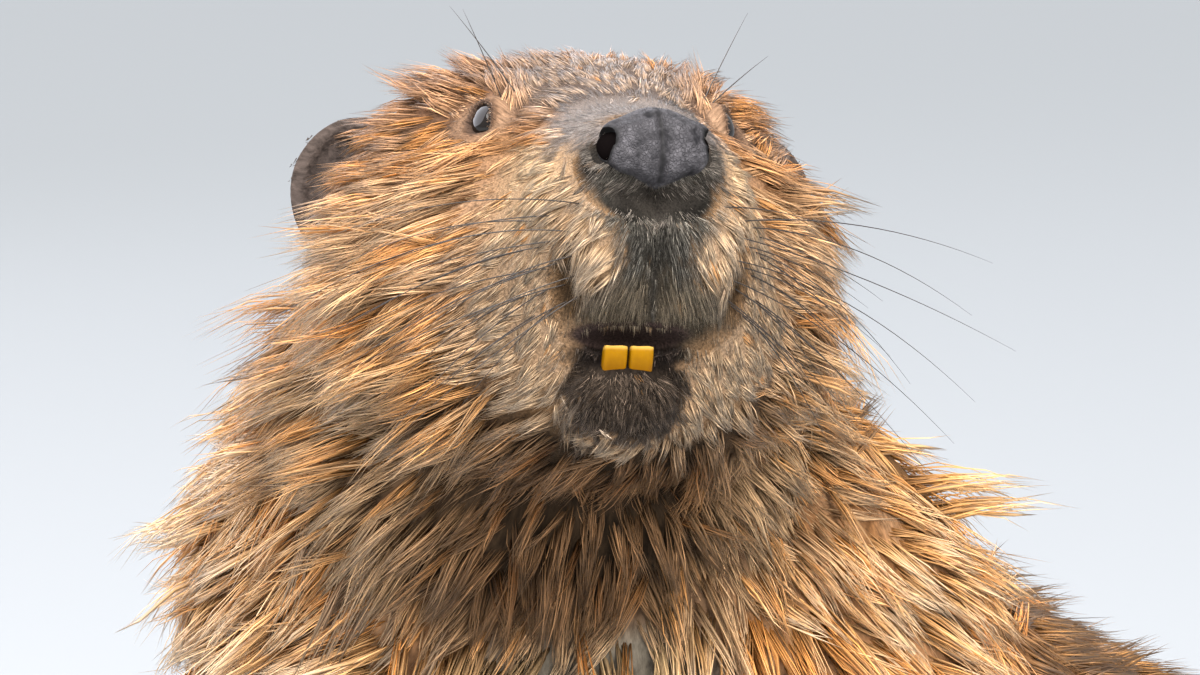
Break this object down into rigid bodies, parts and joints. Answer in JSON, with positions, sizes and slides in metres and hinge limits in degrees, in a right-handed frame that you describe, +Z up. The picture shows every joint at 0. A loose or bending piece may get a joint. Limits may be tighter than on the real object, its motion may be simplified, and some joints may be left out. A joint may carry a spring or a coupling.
{
  "type": "beaver",
  "caption": "Life-size still model of a wet North American beaver sitting with its head raised and turned left, forefeet down, flat scaly tail laid behind",
  "frame": {"origin": "on the floor, under the middle of the whole animal's box: nose to tail tip, and side to side", "axes": "+Z up, -Y the way the body faces, +Y towards the tail, +X the animal's left"},
  "size_m": [0.337, 0.8807, 0.3687],
  "materials": {
    "coat": "wet guard hair in pointed locks, tan to rust orange over dark brown underfur",
    "nose": "charcoal, finely pebbled, half matt",
    "ear": "dark grey-brown, thinly haired",
    "tail": "dark grey-brown scales, half matt",
    "foot": "dark bare skin, creased, half matt",
    "eye": "wet black gloss",
    "tooth": "amber enamel, paler at the cutting edge, glossy",
    "claw": "dark horn, satin"
  },
  "bodies": {
    "root": {"head": "coat", "lower_jaw": "coat", "neck": "coat", "trunk": "coat", "nose": "nose", "tail": "tail", "eye_left": "eye", "ear_left": "ear", "incisor_left": "tooth", "foreleg_left": "coat", "hind_leg_left": "coat", "forefoot_left": "foot", "hind_foot_left": "foot", "fore_claw_left_1": "claw", "hind_claw_left_1": "claw", "fore_claw_left_2": "claw", "hind_claw_left_2": "claw", "fore_claw_left_3": "claw", "hind_claw_left_3": "claw", "fore_claw_left_4": "claw", "hind_claw_left_4": "claw", "fore_claw_left_5": "claw", "hind_claw_left_5": "claw", "eye_right": "eye", "ear_right": "ear", "incisor_right": "tooth", "foreleg_right": "coat", "hind_leg_right": "coat", "forefoot_right": "foot", "hind_foot_right": "foot", "fore_claw_right_1": "claw", "hind_claw_right_1": "claw", "fore_claw_right_2": "claw", "hind_claw_right_2": "claw", "fore_claw_right_3": "claw", "hind_claw_right_3": "claw", "fore_claw_right_4": "claw", "hind_claw_right_4": "claw", "fore_claw_right_5": "claw", "hind_claw_right_5": "claw"}
  },
  "joints": []
}
